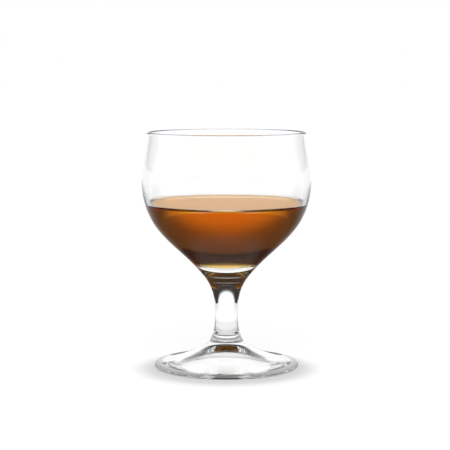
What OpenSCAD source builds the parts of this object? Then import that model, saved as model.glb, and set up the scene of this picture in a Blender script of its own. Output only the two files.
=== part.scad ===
// A dessert wine glass on a short waisted stem, with a pour of wine in it.
// Bowl, stem and foot are solid glass pieces that meet at two flat welds. Every piece is a
// solid of revolution about +Z, and the foot stands on z = 0.

/* [Bowl] */
// Height of the bowl, from its weld with the stem to the rim
bowl_h = 62.6; // [58:0.1:90]
// Outer diameter at the rim
rim_d = 69; // [62:0.5:72]
// Outer diameter at the widest place
belly_d = 74; // [72:0.5:90]
// How far the widest place lies below the rim
belly_drop = 19.8; // [14:0.1:26]
// How far the wall leans inwards at the rim, in degrees
rim_lean = 8; // [2:1:14]
// Thickness of the wall at the widest place
wall_t = 1.25; // [0.9:0.05:2.5]
// Thickness of the rounded lip
lip_t = 1.2; // [0.8:0.05:2.5]
// Thickness of the solid bottom above the weld
bottom_t = 5.3; // [4:0.1:8]

/* [Stem] */
// Length of the stem, from weld to weld
stem_l = 28.2; // [22:0.1:60]
// Diameter of the stem where it meets the bowl
stem_top_d = 20.2; // [16:0.1:24]
// Slope of the stem's side where it meets the bowl, in degrees from level
stem_top_angle = 51; // [45:1:60]
// Diameter of the stem's waist
waist_d = 9.8; // [7:0.1:11]
// Height of the waist above the weld with the foot
waist_rise = 10.2; // [7:0.1:14]
// Diameter of the stem where it meets the foot
stem_base_d = 13.8; // [12:0.1:18]
// Slope of the stem's side where it meets the foot, in degrees from level
stem_base_angle = 64; // [50:1:75]

/* [Foot] */
// Diameter of the foot
foot_d = 62.8; // [54:0.2:80]
// Height of the foot, from the table to its weld with the stem
foot_h = 12.2; // [10:0.1:16]
// Thickness of the foot's rounded edge
foot_edge_t = 2; // [1.4:0.1:3]
// Slope of the foot's upper side at its edge, in degrees
foot_slope = 9; // [4:1:14]
// Height of the hollow under the foot
hollow_h = 8; // [2:0.1:8.4]
// Slope of the hollow where it meets the ring, in degrees
hollow_slope = 6; // [3:1:8]
// Width of the flat ring that the foot rests on
rest_w = 2.4; // [1.5:0.1:5]

/* [Wine] */
// Depth of the wine on the axis
wine_depth = 25.3; // [12:0.1:40]
// How far the wine climbs the wall
meniscus_h = 1.2; // [0.5:0.1:3]
// Distance over which the climb falls to a third
meniscus_reach = 1; // [0.8:0.1:3]

/* [Hidden] */

// Sides of a full turn
$fn = 96;
// Steps along each curve of a profile
curve_steps = 48;
lip_steps = 12;

glass_colour = [0.9, 0.94, 0.94, 0.35];
wine_colour = [0.8, 0.4, 0.05, 0.75];

// Clearance between the wine and the glass
wine_gap = 0.02;

// Heights above the table
bowl_base_z = foot_h + stem_l;
rim_z = bowl_base_z + bowl_h;
belly_z = rim_z - belly_drop;
well_z = bowl_base_z + bottom_t;
wine_z = well_z + wine_depth;
waist_z = foot_h + waist_rise;

// Radii
rim_r = rim_d / 2;
belly_r = belly_d / 2;
belly_inner_r = belly_r - wall_t;
lip_r = lip_t / 2;
stem_top_r = stem_top_d / 2;
stem_base_r = stem_base_d / 2;
waist_r = waist_d / 2;
foot_r = foot_d / 2;
foot_edge_r = foot_edge_t / 2;
rest_out_r = foot_r - foot_edge_r;
rest_in_r = rest_out_r - rest_w;

// How far each curve follows its end tangents, as shares of its own rise or width. The well follows
// its flat bottom for a share of the radius at the heel of the outer cone
cone_share = 0.45;
side_share = 0.565;
shoulder_share = 0.27;
rim_share = 0.4;
well_share = 0.5;
well_side_share = 0.66;
flare_waist_share = 0.49;
flare_top_share = 0.34;
base_waist_share = 0.28;
base_share = 0.345;
boss_share = 0.37;
apron_share = 0.42;
hollow_share = 0.2;
hollow_rim_share = 0.45;

// A step of the given length in the radius-height plane, at an angle from level
function heading(length, angle) = length * [cos(angle), sin(angle)];

// Points along the cubic curve from a to d that leaves towards b and arrives from c
function curve(a, b, c, d) = [
    for (i = [0:curve_steps])
        let (t = i / curve_steps, u = 1 - t)
        u*u*u*a + 3*u*u*t*b + 3*u*t*t*c + t*t*t*d
];

// A list of points without its first one, so that curves join with no point twice
function rest_of(points) = [for (i = [1:len(points) - 1]) points[i]];

// Centre of the rounded lip, and the step from it to the outer side of the leaning wall
lip_centre = [rim_r - lip_r * cos(rim_lean), rim_z - lip_r];
lip_step = heading(lip_r, rim_lean);
wall_top_step = heading(rim_share * belly_drop, 90 + rim_lean);

// Outer side of the bowl from the weld up to the lip
belly_rise = belly_z - bowl_base_z;
cone_heel = [stem_top_r, bowl_base_z] + heading(cone_share * belly_rise, stem_top_angle);
bowl_cone = curve(
    [stem_top_r, bowl_base_z],
    cone_heel,
    [belly_r, belly_z - side_share * belly_rise],
    [belly_r, belly_z]);
bowl_shoulder = curve(
    [belly_r, belly_z],
    [belly_r, belly_z + shoulder_share * belly_drop],
    lip_centre + lip_step - wall_top_step,
    lip_centre + lip_step);

// The lip, from the outer side over the top to the inner side
lip = [
    for (i = [1:lip_steps - 1])
        lip_centre + heading(lip_r, rim_lean + 180 * i / lip_steps)
];

// Inner side of the bowl from the bottom of the well up to the lip
well_rise = belly_z - well_z;
inner_well = curve(
    [0, well_z],
    [well_share * cone_heel[0], well_z],
    [belly_inner_r, belly_z - well_side_share * well_rise],
    [belly_inner_r, belly_z]);
inner_shoulder = curve(
    [belly_inner_r, belly_z],
    [belly_inner_r, belly_z + shoulder_share * belly_drop],
    lip_centre - lip_step - wall_top_step,
    lip_centre - lip_step);
inner_side = concat(inner_well, rest_of(inner_shoulder));

// The inner side turned round, to run from the lip down to the well
inner_side_down = [for (i = [1:len(inner_side)]) inner_side[len(inner_side) - i]];

// Radius of the inner side at a given height
function inner_r_at(z) = lookup(z, [for (p = inner_side) [p[1], p[0]]]);

// The wine's own radius and height where it meets the wall at the top of its meniscus
wine_edge_z = wine_z + meniscus_h;
wine_edge_r = inner_r_at(wine_edge_z) - wine_gap;

// Height of the wine's surface at a given radius
function wine_surface_z(r) = wine_z + meniscus_h * exp((r - wine_edge_r) / meniscus_reach);

module turned(points) {
    rotate_extrude() polygon(points);
}

// Clear bowl, thick at the bottom, with a fire-polished lip
module bowl() {
    color(glass_colour)
    turned(concat(
        [[0, bowl_base_z]],
        bowl_cone,
        rest_of(bowl_shoulder),
        lip,
        inner_side_down));
}

// Wine that fills the well up to its surface and climbs the wall at its edge
module wine() {
    under = [for (p = inner_side) if (p[1] + wine_gap < wine_edge_z)
        [max(0, p[0] - wine_gap), p[1] + wine_gap]];
    surface = [for (i = [0:curve_steps])
        let (r = wine_edge_r * cos(90 * i / curve_steps))
        [r, wine_surface_z(r)]];
    color(wine_colour)
    turned(concat(under, surface));
}

// Solid stem, narrow at its waist, that flares to both welds
module stem() {
    base_rise = waist_z - foot_h;
    top_rise = bowl_base_z - waist_z;
    base_side = curve(
        [stem_base_r, foot_h],
        [stem_base_r, foot_h] + heading(base_share * base_rise, 180 - stem_base_angle),
        [waist_r, waist_z - base_waist_share * base_rise],
        [waist_r, waist_z]);
    top_side = curve(
        [waist_r, waist_z],
        [waist_r, waist_z + flare_waist_share * top_rise],
        [stem_top_r, bowl_base_z] - heading(flare_top_share * top_rise, stem_top_angle),
        [stem_top_r, bowl_base_z]);
    color(glass_colour)
    turned(concat([[0, foot_h]], base_side, rest_of(top_side), [[0, bowl_base_z]]));
}

// Foot: a disc that rises to a boss under the stem, hollow below, with a rounded edge
module foot() {
    boss_rise = foot_h - foot_edge_t;
    apron_w = rest_out_r - stem_base_r;
    underside = curve(
        [0, hollow_h],
        [hollow_share * rest_in_r, hollow_h],
        [rest_in_r, 0] + heading(hollow_rim_share * rest_in_r, 180 - hollow_slope),
        [rest_in_r, 0]);
    edge = [
        for (i = [0:lip_steps])
            [rest_out_r, foot_edge_r] + heading(foot_edge_r, 180 * i / lip_steps - 90)
    ];
    upper_side = curve(
        [rest_out_r, foot_edge_t],
        [rest_out_r, foot_edge_t] + heading(apron_share * apron_w, 180 - foot_slope),
        [stem_base_r, foot_h] - heading(boss_share * boss_rise, 180 - stem_base_angle),
        [stem_base_r, foot_h]);
    color(glass_colour)
    turned(concat(underside, edge, rest_of(upper_side), [[0, foot_h]]));
}

bowl();
wine();
stem();
foot();
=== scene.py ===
"""A dessert wine glass with its pour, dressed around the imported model."""
import math

import bpy
import numpy as np
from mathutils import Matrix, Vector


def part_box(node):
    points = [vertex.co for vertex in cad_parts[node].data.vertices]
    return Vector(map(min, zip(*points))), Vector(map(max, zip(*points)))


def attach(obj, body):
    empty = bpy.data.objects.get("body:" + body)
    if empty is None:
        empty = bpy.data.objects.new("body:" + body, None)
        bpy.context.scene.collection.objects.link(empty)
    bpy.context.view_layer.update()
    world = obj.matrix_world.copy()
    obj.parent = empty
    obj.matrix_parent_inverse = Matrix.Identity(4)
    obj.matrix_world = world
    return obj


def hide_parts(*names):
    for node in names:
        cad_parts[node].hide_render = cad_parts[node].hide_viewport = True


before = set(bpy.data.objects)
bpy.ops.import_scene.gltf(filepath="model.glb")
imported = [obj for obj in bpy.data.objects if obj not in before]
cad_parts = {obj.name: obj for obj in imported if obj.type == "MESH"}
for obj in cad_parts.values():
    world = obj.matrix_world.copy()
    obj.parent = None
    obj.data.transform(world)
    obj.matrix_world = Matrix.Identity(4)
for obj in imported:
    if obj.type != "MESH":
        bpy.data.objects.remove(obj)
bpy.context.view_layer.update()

MM = 0.001

# Camera. It stands two thirds of a metre in front of the glass and a little above its rim, and
# looks slightly down. The glass stands a hair to the right of the middle of the frame.
camera_distance = 667 * MM
camera_height = 130.6 * MM
camera_left = 0.63 * MM
camera_tilt = math.radians(5.84)
frame_px = 450
focal_px = 1537

camera = bpy.data.objects.new("camera", bpy.data.cameras.new("camera"))
bpy.context.scene.collection.objects.link(camera)
camera.data.lens = focal_px / frame_px * camera.data.sensor_width
camera.location = (-camera_left, -camera_distance, camera_height)
camera.rotation_euler = (math.pi / 2 - camera_tilt, 0, 0)
bpy.context.scene.camera = camera

# Bowl. Clear soda-lime glass, blown into a mould and fire-polished at the rim: thin at the rim,
# widest below its middle, and drawn down in a cone to a thick solid bottom, where the stem is
# welded on. Its outline runs from the weld up the outside, over the lip and down the inside.
bowl_low, bowl_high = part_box("bowl")
bowl_base_z = bowl_low.z
rim_z = bowl_high.z
belly_r = bowl_high.x
contact_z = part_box("wine")[1].z
rim_r = 34.5 * MM
belly_drop = 19.8 * MM
rim_lean = 8
wall = 1.25 * MM
lip_r = 0.6 * MM
bottom = 5.3 * MM
weld_top_r = 10.1 * MM
weld_top_angle = 51
cone_share = 0.45
side_share = 0.565
shoulder_share = 0.27
rim_share = 0.4
well_share = 0.5
well_side_share = 0.66
turns = 256
cone_steps = 96
shoulder_steps = 40
lip_steps = 14
well_steps = 160

glass_colour = (0.99, 0.993, 0.993)
# The lip's glass is tinted blue grey: painted shade that draws the rim's thin dark line.
lip_painted_shade = (0.7, 0.76, 0.84)
glass_index = 1.528
wine_index = 1.341
glass_waves = (60, 60, 60)
glass_relief = 0.004 * MM
wave_contrast = 0.4
wave_low, wave_high = 0.3, 0.7
gloss_low, gloss_high = 0.005, 0.025
dry_slot, weld_slot, wet_slot, lip_slot = range(4)


def curve(a, b, c, d, steps):
    """Points of the cubic curve from a to d that leaves towards b and arrives from c. The four are
    weighted by u^3, 3u^2t, 3ut^2 and t^3, where t runs from 0 to 1 and u is 1 - t."""
    t = np.linspace(0, 1, steps + 1)[:, None]
    u = 1 - t
    a, b, c, d = np.array(a), np.array(b), np.array(c), np.array(d)
    return u**3 * a + 3 * u * u * t * b + 3 * u * t * t * c + t**3 * d


def heading(length, angle):
    """A step of a length in the radius-height plane, at an angle from level in degrees: the length
    times the angle's cosine and sine."""
    return length * np.array([math.cos(math.radians(angle)), math.sin(math.radians(angle))])


def turned(name, outline, materials, band_slots):
    """A closed surface of revolution. The point at (i, j) is the outline's point i, at radius r and
    height z, turned about Z by a = 2 pi j / turns: (r cos a, r sin a, z). The outline starts and
    ends on the axis, where a fan of triangles closes it. band_slots gives each band's material."""
    rings = outline[1:-1]
    a = 2 * math.pi * np.arange(turns) / turns
    grid = np.empty((len(rings), turns, 3))
    grid[:, :, 0] = rings[:, :1] * np.cos(a)
    grid[:, :, 1] = rings[:, :1] * np.sin(a)
    grid[:, :, 2] = rings[:, 1:]
    poles = np.array([[0, 0, outline[0, 1]], [0, 0, outline[-1, 1]]])
    points = np.concatenate([grid.reshape(-1, 3), poles])
    here = np.arange(len(rings) * turns).reshape(len(rings), turns)
    after = np.roll(here, -1, axis=1)
    quads = np.stack([here[:-1], after[:-1], after[1:], here[1:]], axis=-1).reshape(-1, 4)
    low_pole = np.full(turns, len(rings) * turns)
    low_fan = np.stack([low_pole, after[0], here[0]], axis=-1)
    high_fan = np.stack([low_pole + 1, here[-1], after[-1]], axis=-1)
    mesh = bpy.data.meshes.new(name)
    mesh.from_pydata(points.tolist(), [], [*low_fan.tolist(), *quads.tolist(), *high_fan.tolist()])
    for material in materials:
        mesh.materials.append(material)
    mesh.polygons.foreach_set("use_smooth", np.ones(len(mesh.polygons), dtype=bool))
    mesh.polygons.foreach_set("material_index", np.repeat(band_slots, turns))
    mesh.update()
    piece = bpy.data.objects.new(name, mesh)
    bpy.context.scene.collection.objects.link(piece)
    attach(piece, "root")
    return piece


def slots_for(outline):
    """A material slot for each band between two points of an outline, at first the dry one."""
    return np.full(len(outline) - 1, dry_slot, dtype=np.int32)


def flat_welds(piece):
    """Shades the faces of a piece's welds flat, so that they keep a crisp edge."""
    slots = np.empty(len(piece.data.polygons), dtype=np.int32)
    piece.data.polygons.foreach_get("material_index", slots)
    piece.data.polygons.foreach_set("use_smooth", slots != weld_slot)
    piece.data.update()


def new_material(name):
    """A material with nodes, and its tree of nodes."""
    material = bpy.data.materials.new(name)
    material.use_nodes = True
    return material, material.node_tree


def node(tree, kind, **values):
    """A new node of a shader tree. Each value is set on the input that it is named after, or on the
    input with that number, as in_0."""
    made = tree.nodes.new(kind)
    for key, value in values.items():
        made.inputs[int(key[3:]) if key.startswith("in_") else key].default_value = value
    return made


def rise(tree, value, low, high, first=0, last=1):
    """A straight run from first to last as a value goes from low to high, and level beyond them."""
    made = node(tree, "ShaderNodeMapRange", in_1=low, in_2=high, in_3=first, in_4=last)
    tree.links.new(value, made.inputs["Value"])
    return made.outputs["Result"]


def polish(material, cells, depth, seed):
    """Gives a polished face the faint waves of hot-worked glass or of a liquid, and a gloss that
    varies a little. cells is how many waves there are to a metre along X, Y and Z, and depth is the
    waves' depth. Both come from smooth noise at the place times cells, plus the seed."""
    tree = material.node_tree
    shader = tree.nodes["Principled BSDF"]
    place = tree.nodes.new("ShaderNodeTexCoord")
    spread = node(tree, "ShaderNodeVectorMath", in_1=cells, in_2=(seed, seed, seed))
    spread.operation = "MULTIPLY_ADD"
    waves = node(tree, "ShaderNodeTexNoise", Scale=1, Detail=1, Roughness=wave_contrast)
    relief = node(tree, "ShaderNodeBump", Strength=1, Distance=depth)
    gloss = rise(tree, waves.outputs["Fac"], wave_low, wave_high, gloss_low, gloss_high)
    tree.links.new(place.outputs["Object"], spread.inputs[0])
    tree.links.new(spread.outputs["Vector"], waves.inputs["Vector"])
    tree.links.new(gloss, shader.inputs["Roughness"])
    tree.links.new(waves.outputs["Fac"], relief.inputs["Height"])
    tree.links.new(relief.outputs["Normal"], shader.inputs["Normal"])


def clear_glass(name, against=1, colour=glass_colour, cells=glass_waves, depth=glass_relief, seed=1):
    """Polished clear glass, with the glass's index over the index of what lies against the face."""
    material, tree = new_material(name)
    shader = tree.nodes["Principled BSDF"]
    shader.inputs["Base Color"].default_value = (*colour, 1)
    shader.inputs["IOR"].default_value = glass_index / against
    shader.inputs["Transmission Weight"].default_value = 1
    polish(material, cells, depth, seed)
    return material


def weld_face(name):
    """The inside of a hot weld, where two pieces have become one and nothing is to be seen."""
    material, tree = new_material(name)
    tree.nodes.remove(tree.nodes["Principled BSDF"])
    clear = tree.nodes.new("ShaderNodeBsdfTransparent")
    tree.links.new(clear.outputs["BSDF"], tree.nodes["Material Output"].inputs["Surface"])
    return material


belly_z = rim_z - belly_drop
belly_rise = belly_z - bowl_base_z
belly_inner_r = belly_r - wall
well_z = bowl_base_z + bottom
well_rise = belly_z - well_z
weld_top = np.array([weld_top_r, bowl_base_z])
cone_heel = weld_top + heading(cone_share * belly_rise, weld_top_angle)
lip_centre = np.array([rim_r - lip_r * math.cos(math.radians(rim_lean)), rim_z - lip_r])
lip_step = heading(lip_r, rim_lean)
lean_step = heading(rim_share * belly_drop, 90 + rim_lean)

cone = curve(
    weld_top,
    cone_heel,
    (belly_r, belly_z - side_share * belly_rise),
    (belly_r, belly_z),
    cone_steps,
)
shoulder = curve(
    (belly_r, belly_z),
    (belly_r, belly_z + shoulder_share * belly_drop),
    lip_centre + lip_step - lean_step,
    lip_centre + lip_step,
    shoulder_steps,
)
lip_angles = np.radians(rim_lean + np.linspace(0, 180, lip_steps + 1)[1:-1])
lip = lip_centre + lip_r * np.stack([np.cos(lip_angles), np.sin(lip_angles)], axis=-1)
inner_shoulder = curve(
    lip_centre - lip_step,
    lip_centre - lip_step - lean_step,
    (belly_inner_r, belly_z + shoulder_share * belly_drop),
    (belly_inner_r, belly_z),
    shoulder_steps,
)
well = curve(
    (belly_inner_r, belly_z),
    (belly_inner_r, belly_z - well_side_share * well_rise),
    (well_share * cone_heel[0], well_z),
    (0, well_z),
    well_steps,
)
inner_side = np.concatenate([inner_shoulder, well[1:]])
bowl_outline = np.concatenate([[(0, bowl_base_z)], cone, shoulder[1:], lip, inner_side])

bowl_slots = slots_for(bowl_outline)
bowl_slots[0] = weld_slot
lip_start = len(cone) + len(shoulder)
bowl_slots[lip_start - 1 : lip_start + len(lip)] = lip_slot
middle_z = (bowl_outline[1:, 1] + bowl_outline[:-1, 1]) / 2
inside = np.arange(len(bowl_slots)) >= len(bowl_outline) - len(inner_side)
bowl_slots[inside & (middle_z < contact_z)] = wet_slot

bowl_materials = [
    clear_glass("bowl glass"),
    weld_face("weld"),
    clear_glass("wetted glass", against=wine_index),
    # The lip glass carries the painted shade of the rim's dark line.
    clear_glass("lip glass", colour=lip_painted_shade),
]
bowl = turned("bowl_glass", bowl_outline, bowl_materials, bowl_slots)
flat_welds(bowl)
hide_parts("bowl")

# Wine. About fifty millilitres of amber dessert wine. It fills the well of the bowl, stands
# level and climbs the wall a little at its edge. The pour gives the colour. A film on top of it is
# its open surface, which bends and mirrors light, and the wetted glass does that at its side. From
# above the film is also painted peach, a painted reflection and glow.
meniscus = 1.2 * MM
meniscus_reach = 1 * MM
clearance = 0.01 * MM
film = 0.05 * MM
level_steps = 96
wine_grey = (0.905, 0.905, 0.905)
wine_amber = (0.944, 0.728, 0.03)
wine_strength = 120
wine_waves = (60, 60, 60)
wine_relief = 0.002 * MM
# Painted peach: the surface's painted reflection and glow, seen from above.
painted_surface_peach = (0.97, 0.43, 0.02)
surface_clear = (0.98, 0.95, 0.9)
surface_waves = (50, 50, 50)
surface_relief = 0.003 * MM
surface_least = 0.15
climb_from = 2.2 * MM
climb_to = 0.6 * MM

wine_z = contact_z - meniscus
wall_up = inner_side[::-1]
edge_r = float(np.interp(contact_z, wall_up[:, 1], wall_up[:, 0]))


def wine_level(end_r, drop):
    """The wine's level out to a radius, lowered by a drop: z = wine_z + meniscus exp((r - edge) /
    reach) - drop. It runs from the wall to the axis, closer at the wall."""
    r = end_r * np.cos(np.linspace(0, math.pi / 2, level_steps + 1))
    return np.stack([r, wine_z + meniscus * np.exp((r - edge_r) / meniscus_reach) - drop], axis=-1)


def math_node(tree, operation, first, second):
    """The result of a math operation on two values, each a number or another node's output."""
    made = tree.nodes.new("ShaderNodeMath")
    made.operation = operation
    for socket, value in zip(made.inputs, (first, second)):
        if isinstance(value, (int, float)):
            socket.default_value = value
        else:
            tree.links.new(value, socket)
    return made.outputs["Value"]


def axis_distance(tree, place):
    """The distance of a place from the Z axis: the length of its X and Y."""
    flat = node(tree, "ShaderNodeVectorMath", in_1=(1, 1, 0))
    flat.operation = "MULTIPLY"
    radius = tree.nodes.new("ShaderNodeVectorMath")
    radius.operation = "LENGTH"
    tree.links.new(place, flat.inputs[0])
    tree.links.new(flat.outputs["Vector"], radius.inputs[0])
    return radius.outputs["Value"]


wine_material, tree = new_material("amber wine")
shader = tree.nodes["Principled BSDF"]
shader.inputs["Base Color"].default_value = (*wine_grey, 1)
shader.inputs["IOR"].default_value = 1
shader.inputs["Transmission Weight"].default_value = 1
polish(wine_material, wine_waves, wine_relief, seed=11)
absorb = node(tree, "ShaderNodeVolumeAbsorption", Color=(*wine_amber, 1), Density=wine_strength)
tree.links.new(absorb.outputs["Volume"], tree.nodes["Material Output"].inputs["Volume"])

# From above, the surface is painted an opaque peach that the lamps light. This is a painted reflection
# and glow: it stands in for the white surround that the surface mirrors and for the amber light that
# comes up through the wine, on top of the real mirroring of its index. It is clear from below and
# where it climbs the wall, and a little of it stays clear everywhere.
surface_material, tree = new_material("wine surface")
shader = tree.nodes["Principled BSDF"]
shader.inputs["IOR"].default_value = wine_index
polish(surface_material, surface_waves, surface_relief, seed=13)
from_below = tree.nodes.new("ShaderNodeNewGeometry").outputs["Backfacing"]
radius = axis_distance(tree, tree.nodes.new("ShaderNodeTexCoord").outputs["Object"])
climb = rise(tree, radius, edge_r - climb_from, edge_r - climb_to)
tint = tree.nodes.new("ShaderNodeMix")
tint.data_type = "RGBA"
tint.inputs["A"].default_value = (*painted_surface_peach, 1)
tint.inputs["B"].default_value = (*surface_clear, 1)
tree.links.new(climb, tint.inputs["Factor"])
tree.links.new(tint.outputs["Result"], shader.inputs["Base Color"])
clear_share = math_node(tree, "MAXIMUM", math_node(tree, "MAXIMUM", from_below, climb), surface_least)
tree.links.new(clear_share, shader.inputs["Transmission Weight"])

pour_top = wine_level(edge_r - clearance, 2 * film)
pour_side = wall_up[wall_up[:, 1] < pour_top[0, 1]] + np.array([-clearance, clearance])
pour_side[0, 0] = 0
pour_outline = np.concatenate([pour_side[:-1], pour_top])
wine = turned("poured_wine", pour_outline, [wine_material], slots_for(pour_outline))
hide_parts("wine")

film_top = wine_level(edge_r + 3 * clearance, 0)
film_under = wine_level(edge_r + 3 * clearance, film)[::-1]
film_outline = np.concatenate([film_under, film_top])
film_slots = slots_for(film_outline)
film_slots[: len(film_under) - 1] = weld_slot
film_materials = [surface_material, weld_face("wine below its surface")]
surface = turned("wine_surface", film_outline, film_materials, film_slots)

# Stem. A short solid rod of glass, drawn in at its waist while hot, that flares above to the
# bowl's bottom and below to the foot's boss. It is welded to both.
stem_low, stem_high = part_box("stem")
waist_r = 4.9 * MM
waist_rise = 10.2 * MM
weld_low_r = 6.9 * MM
weld_low_angle = 64
base_share = 0.345
base_waist_share = 0.28
flare_waist_share = 0.49
flare_top_share = 0.34
base_steps = 48
flare_steps = 64
stem_waves = (90, 90, 240)
stem_relief = 0.05 * MM

waist_z = stem_low.z + waist_rise
top_rise = stem_high.z - waist_z
weld_low = np.array([weld_low_r, stem_low.z])
stem_base = curve(
    weld_low,
    weld_low + heading(base_share * waist_rise, 180 - weld_low_angle),
    (waist_r, waist_z - base_waist_share * waist_rise),
    (waist_r, waist_z),
    base_steps,
)
stem_flare = curve(
    (waist_r, waist_z),
    (waist_r, waist_z + flare_waist_share * top_rise),
    weld_top - heading(flare_top_share * top_rise, weld_top_angle),
    weld_top,
    flare_steps,
)
stem_outline = np.concatenate([[(0, stem_low.z)], stem_base, stem_flare[1:], [(0, stem_high.z)]])
stem_slots = slots_for(stem_outline)
stem_slots[[0, -1]] = weld_slot
stem_glass = clear_glass("stem glass", cells=stem_waves, depth=stem_relief, seed=4)
stem = turned("stem_glass", stem_outline, [stem_glass, weld_face("stem weld")], stem_slots)
flat_welds(stem)
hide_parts("stem")

# Foot. A pressed disc of glass that rises in a gentle cone to a boss under the stem. Its edge is
# fire-polished round, and its underside is hollow, so that it stands on a ring near the edge.
foot_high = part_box("foot")[1]
foot_r = foot_high.x
edge_round = 1 * MM
foot_slope = 9
hollow = 8 * MM
rest_width = 2.4 * MM
rest_slope = 6
hollow_share = 0.2
hollow_rim_share = 0.45
apron_share = 0.42
boss_share = 0.37
hollow_steps = 64
edge_steps = 16
apron_steps = 96
foot_waves = (110, 110, 110)
foot_relief = 0.04 * MM

rest_out_r = foot_r - edge_round
rest_in_r = rest_out_r - rest_width
boss_rise = foot_high.z - 2 * edge_round
apron = rest_out_r - weld_low_r
underside = curve(
    (0, hollow),
    (hollow_share * rest_in_r, hollow),
    np.array([rest_in_r, 0]) + heading(hollow_rim_share * rest_in_r, 180 - rest_slope),
    (rest_in_r, 0),
    hollow_steps,
)
edge_angles = np.linspace(-math.pi / 2, math.pi / 2, edge_steps + 1)
edge_centre = np.array([rest_out_r, edge_round])
foot_edge = edge_centre + edge_round * np.stack([np.cos(edge_angles), np.sin(edge_angles)], axis=-1)
upper_side = curve(
    (rest_out_r, 2 * edge_round),
    (rest_out_r, 2 * edge_round) + heading(apron_share * apron, 180 - foot_slope),
    weld_low - heading(boss_share * boss_rise, 180 - weld_low_angle),
    weld_low,
    apron_steps,
)
foot_outline = np.concatenate([underside, foot_edge, upper_side[1:], [(0, foot_high.z)]])
foot_slots = slots_for(foot_outline)
foot_slots[-1] = weld_slot
foot_glass = clear_glass("foot glass", cells=foot_waves, depth=foot_relief, seed=7)
foot = turned("foot_glass", foot_outline, [foot_glass, weld_face("foot weld")], foot_slots)
flat_welds(foot)
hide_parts("foot")

# Floor. A matt white sheet, white to the camera, with the glass's shadow on it. What is seen of it
# through glass is a little over white, which makes up for what the glass takes, with painted shadow
# on it: a grey ring under the foot's rest for its contact shadow, and a paler grey around the glass
# out to 60 mm, fading to white by 100 mm, for the glass's shadow. What glass mirrors of it is dim
# near by, and white behind the glass.
floor_half = 10
floor_paint = 0.45
floor_glow = 0.52
white = 1.17
mirrored = 0.06
mirrored_floor = 0.3
mirrored_from, mirrored_to = 32 * MM, 55 * MM
behind_from, behind_to = 60 * MM, 300 * MM
flag_from, flag_to = math.radians(10), math.radians(30)
flag_level = 0.6
near_half = 12 * MM
far_from, far_to = 100 * MM, 300 * MM
side_fade = 0.6
wine_side_rise = 1.7
wine_side_from = 0.487
grey_reach = 100
# Painted shadow on the floor as glass shows it: radii in millimetres and their greys, for the ring
# under the foot's rest and the glass's shadow around it.
painted_shadow_greys = [(27.5, 1), (29, 0.45), (31.4, 0.3), (33, 0.8), (60, 0.8), (100, 1)]

# The surround falls from white low down to a least brightness higher up. Each fall has the
# elevation in degrees where it is half way down, its steepness and its least. The wine shows a
# softer fall than clear glass does, and one that ends in a second fall from 38 to 50 degrees.
wine_half, wine_steepness, wine_least = 13.2, 4.4, 0.14
glass_half, glass_steepness, glass_least = 16, 11, 0.03
side_limit = math.sin(math.radians(38))
wine_top = math.sin(math.radians(50))
wine_top_level = 0.22

# A ray has crossed two faces after one piece of glass, four after both walls of the dry bowl, and
# five or more in the wine. Half a bounce tells a ray with none from a ray with one.
piece_crossings = 2.5
dry_crossings = 4
wine_crossings = 4.5
half_bounce = 0.5


def times(tree, first, second):
    """The product of two values."""
    return math_node(tree, "MULTIPLY", first, second)


def grey(tree, first, second, share):
    """A mix of two brightnesses, from the first at a share of 0 to the second at a share of 1:
    first (1 - share) + second share."""
    kept = times(tree, first, math_node(tree, "SUBTRACT", 1, share))
    return math_node(tree, "ADD", kept, times(tree, second, share))


def brightness_ramp(tree, levels, value):
    """The brightness at a value, from a list of values between 0 and 1 and their brightnesses. It
    is level before the first and after the last, and runs straight from each to the next."""
    made = tree.nodes.new("ShaderNodeValToRGB")
    stops = made.color_ramp.elements
    for position, level in levels:
        stop = stops.new(position)
        stop.color = (level, level, level, 1)
    stops.remove(stops[0])
    stops.remove(stops[-1])
    tree.links.new(value, made.inputs["Fac"])
    return made.outputs["Color"]


def fall_of_light(tree, height, half, steepness, least):
    """The surround's brightness at a height, the sine of an elevation: least + (1 - least) / (1 +
    (height / sine of half)^steepness), where a height below the horizon counts as 0."""
    above = math_node(tree, "MAXIMUM", height, 0)
    part = math_node(tree, "DIVIDE", above, math.sin(math.radians(half)))
    steep = math_node(tree, "ADD", math_node(tree, "POWER", part, steepness), 1)
    return grey(tree, least, 1, math_node(tree, "DIVIDE", 1, steep))


def seen_in_wine(tree, height):
    """The surround's brightness at a height as the wine shows it: its fall of light, times a straight
    fall from 1 at side_limit to wine_top_level at wine_top."""
    soft = fall_of_light(tree, height, wine_half, wine_steepness, wine_least)
    return times(tree, soft, rise(tree, height, side_limit, wine_top, 1, wine_top_level))


def turn_aside(tree, x, y):
    """How far a place or a direction lies to the side of the nearest of the four quarters, in
    radians: the angle from +Y, folded at 45 degrees."""
    return math_node(tree, "PINGPONG", math_node(tree, "ARCTAN2", x, y), math.pi / 4)


def between_flags(tree, x, y):
    """How much of the white sheet behind the glass is mirrored from a place or a direction, between
    the grey flags to its sides: 1 near +Y, with a straight fall as the turn from it grows."""
    turn = math_node(tree, "ABSOLUTE", math_node(tree, "ARCTAN2", x, y), 0)
    return rise(tree, turn, flag_from, flag_to, 1, flag_level)


def wine_sides(tree, aside):
    """How high the surround seems to the side of what the wine shows: aside times a rise, less a
    start."""
    return math_node(tree, "SUBTRACT", times(tree, aside, wine_side_rise), wine_side_from)


def more_than(tree, path, depth, count):
    """1 for a ray whose depth of one kind, such as Glossy Depth, is over a count, and 0 for others."""
    return math_node(tree, "GREATER_THAN", path.outputs[depth], count)


floor_mesh = bpy.data.meshes.new("floor")
floor_corners = [(-floor_half, -floor_half, 0), (floor_half, -floor_half, 0)]
floor_corners += [(floor_half, floor_half, 0), (-floor_half, floor_half, 0)]
floor_mesh.from_pydata(floor_corners, [], [(0, 1, 2, 3)])
floor = bpy.data.objects.new("floor", floor_mesh)
bpy.context.scene.collection.objects.link(floor)

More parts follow.
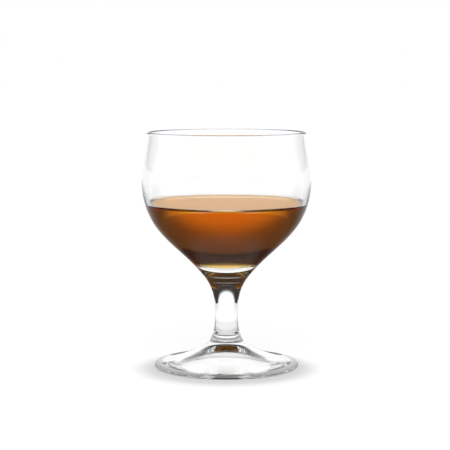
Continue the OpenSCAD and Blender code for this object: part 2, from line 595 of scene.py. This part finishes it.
floor_material, tree = new_material("white floor")
tree.nodes.remove(tree.nodes["Principled BSDF"])
path = tree.nodes.new("ShaderNodeLightPath")
place = tree.nodes.new("ShaderNodeTexCoord")
spot = tree.nodes.new("ShaderNodeSeparateXYZ")
tree.links.new(place.outputs["Object"], spot.inputs["Vector"])
apart = axis_distance(tree, place.outputs["Object"])
aside = turn_aside(tree, spot.outputs["X"], spot.outputs["Y"])
far = rise(tree, apart, far_from, far_to)

paint = node(tree, "ShaderNodeBsdfDiffuse", Color=(floor_paint, floor_paint, floor_paint, 1))
glow = tree.nodes.new("ShaderNodeEmission")
tree.links.new(times(tree, path.outputs["Is Camera Ray"], floor_glow), glow.inputs["Strength"])
painted = tree.nodes.new("ShaderNodeAddShader")
tree.links.new(paint.outputs["BSDF"], painted.inputs[0])
tree.links.new(glow.outputs["Emission"], painted.inputs[1])

# Seen through glass: painted shadow, a grey ring under the foot's rest and a paler grey around the
# glass, and further out a fall of light to the sides, as in the surround.
painted_shadow_levels = [(radius / grey_reach, level) for radius, level in painted_shadow_greys]
ring = brightness_ramp(tree, painted_shadow_levels, math_node(tree, "DIVIDE", apart, grey_reach * MM))
faded = times(tree, times(tree, aside, aside), side_fade)
clear_sides = grey(tree, white, math_node(tree, "SUBTRACT", white, faded), far)
wine_glow = times(tree, seen_in_wine(tree, wine_sides(tree, aside)), white)
in_wine = more_than(tree, path, "Transmission Depth", wine_crossings)
below = times(tree, ring, grey(tree, clear_sides, wine_glow, times(tree, in_wine, far)))

# Mirrored by glass. A ray that one piece of glass has turned back, and that ends under the near half
# of the foot, counts as mirrored too.
near_glass = rise(tree, apart, mirrored_from, mirrored_to, mirrored_floor, mirrored)
behind = rise(tree, spot.outputs["Y"], behind_from, behind_to)
sheet = times(tree, behind, between_flags(tree, spot.outputs["X"], spot.outputs["Y"]))
in_glass = grey(tree, near_glass, white, sheet)
under_foot = math_node(tree, "LESS_THAN", apart, foot_r)
near_side = math_node(tree, "LESS_THAN", spot.outputs["Y"], near_half)
once = more_than(tree, path, "Glossy Depth", half_bounce)
one_piece = math_node(tree, "LESS_THAN", path.outputs["Transmission Depth"], piece_crossings)
turned_back = times(tree, times(tree, under_foot, near_side), times(tree, once, one_piece))
straight = math_node(tree, "SUBTRACT", 1, turned_back)
through = times(tree, path.outputs["Is Transmission Ray"], straight)

shown_glow = tree.nodes.new("ShaderNodeEmission")
tree.links.new(grey(tree, in_glass, below, through), shown_glow.inputs["Strength"])
by_glass = math_node(
    tree, "MAXIMUM", path.outputs["Is Glossy Ray"], path.outputs["Is Transmission Ray"]
)
shown = tree.nodes.new("ShaderNodeMixShader")
tree.links.new(by_glass, shown.inputs["Fac"])
tree.links.new(painted.outputs["Shader"], shown.inputs[1])
tree.links.new(shown_glow.outputs["Emission"], shown.inputs[2])
tree.links.new(shown.outputs["Shader"], tree.nodes["Material Output"].inputs["Surface"])
floor_mesh.materials.append(floor_material)

# Surround. White to the camera. Through glass it is white low down and darkens upwards and to the
# sides of each quarter, so that the glass draws its own edges in black. What glass mirrors of it is
# dim in front and white behind the glass, between two grey flags that stop a little way up.
room = 0.3
surface_mirror = 0.6
side_darkening = 0.84
behind_y = 0.5
flag_top_from, flag_top_to = 0.2, 0.4
mirror_surround = [(20, 1), (35, 0.7), (50, 0.3), (70, 0.1)]


def by_elevation(tree, levels, height):
    """The brightness at a height, the sine of an elevation, from elevations in degrees."""
    sines = [(math.sin(math.radians(elevation)), level) for elevation, level in levels]
    return brightness_ramp(tree, sines, height)


world = bpy.data.worlds.new("studio")
bpy.context.scene.world = world
world.use_nodes = True
tree = world.node_tree
path = tree.nodes.new("ShaderNodeLightPath")
direction = tree.nodes.new("ShaderNodeTexCoord")
split = tree.nodes.new("ShaderNodeSeparateXYZ")
tree.links.new(direction.outputs["Generated"], split.inputs["Vector"])
height = split.outputs["Z"]
aside = turn_aside(tree, split.outputs["X"], split.outputs["Y"])

# Seen through glass. The height of a direction, the sine of its elevation, is raised to the side,
# to no more than the limit, the sine of 38 degrees, unless it is itself higher.
hill = math_node(tree, "ADD", height, times(tree, times(tree, aside, aside), side_darkening))
limit = math_node(tree, "MAXIMUM", height, side_limit)
wine_hill = math_node(tree, "MAXIMUM", hill, wine_sides(tree, aside))
around_wine = seen_in_wine(tree, math_node(tree, "MINIMUM", wine_hill, limit))
glass_hill = math_node(tree, "MINIMUM", hill, limit)
around_glass = fall_of_light(tree, glass_hill, glass_half, glass_steepness, glass_least)
in_wine = more_than(tree, path, "Transmission Depth", wine_crossings)
once = more_than(tree, path, "Glossy Depth", half_bounce)
dry_walls = math_node(tree, "COMPARE", path.outputs["Transmission Depth"], dry_crossings)
lit = grey(tree, white, surface_mirror, times(tree, once, dry_walls))
around = times(tree, grey(tree, around_glass, around_wine, in_wine), lit)

# Mirrored by glass, and then as it lights matt faces, where it is plain and even.
behind = rise(tree, split.outputs["Y"], 0, behind_y)
flags = between_flags(tree, split.outputs["X"], split.outputs["Y"])
sheet = times(tree, behind, grey(tree, flags, 1, rise(tree, height, flag_top_from, flag_top_to)))
in_glass = grey(tree, mirrored, by_elevation(tree, mirror_surround, height), sheet)
unscattered = math_node(tree, "LESS_THAN", path.outputs["Diffuse Depth"], half_bounce)
through = times(tree, path.outputs["Is Transmission Ray"], unscattered)
in_mirror = times(tree, path.outputs["Is Glossy Ray"], unscattered)
shown = grey(tree, grey(tree, room, in_glass, in_mirror), around, through)
seen = grey(tree, shown, 1, path.outputs["Is Camera Ray"])
background = tree.nodes["Background"]
background.inputs["Color"].default_value = (1, 1, 1, 1)
tree.links.new(seen, background.inputs["Strength"])

# Lamps. One overhead and a hair behind the glass, which casts its shadow, and a wide soft one from
# the front. Each has an energy, a width and a lean from overhead in degrees.
lamps = [("overhead lamp", 2.2, 8, -3.2), ("front lamp", 0.6, 50, 50)]
for name, energy, width, lean in lamps:
    lamp = bpy.data.objects.new(name, bpy.data.lights.new(name, "SUN"))
    bpy.context.scene.collection.objects.link(lamp)
    lamp.data.energy = energy
    lamp.data.angle = math.radians(width)
    lamp.rotation_euler = (math.radians(lean), 0, 0)
    lamp.visible_glossy = False
    lamp.visible_transmission = False

bpy.context.scene.view_settings.view_transform = "Standard"
bpy.context.scene.cycles.max_bounces = 32
bpy.context.scene.cycles.transmission_bounces = 32
bpy.context.scene.cycles.glossy_bounces = 16
bpy.context.scene.cycles.transparent_max_bounces = 32
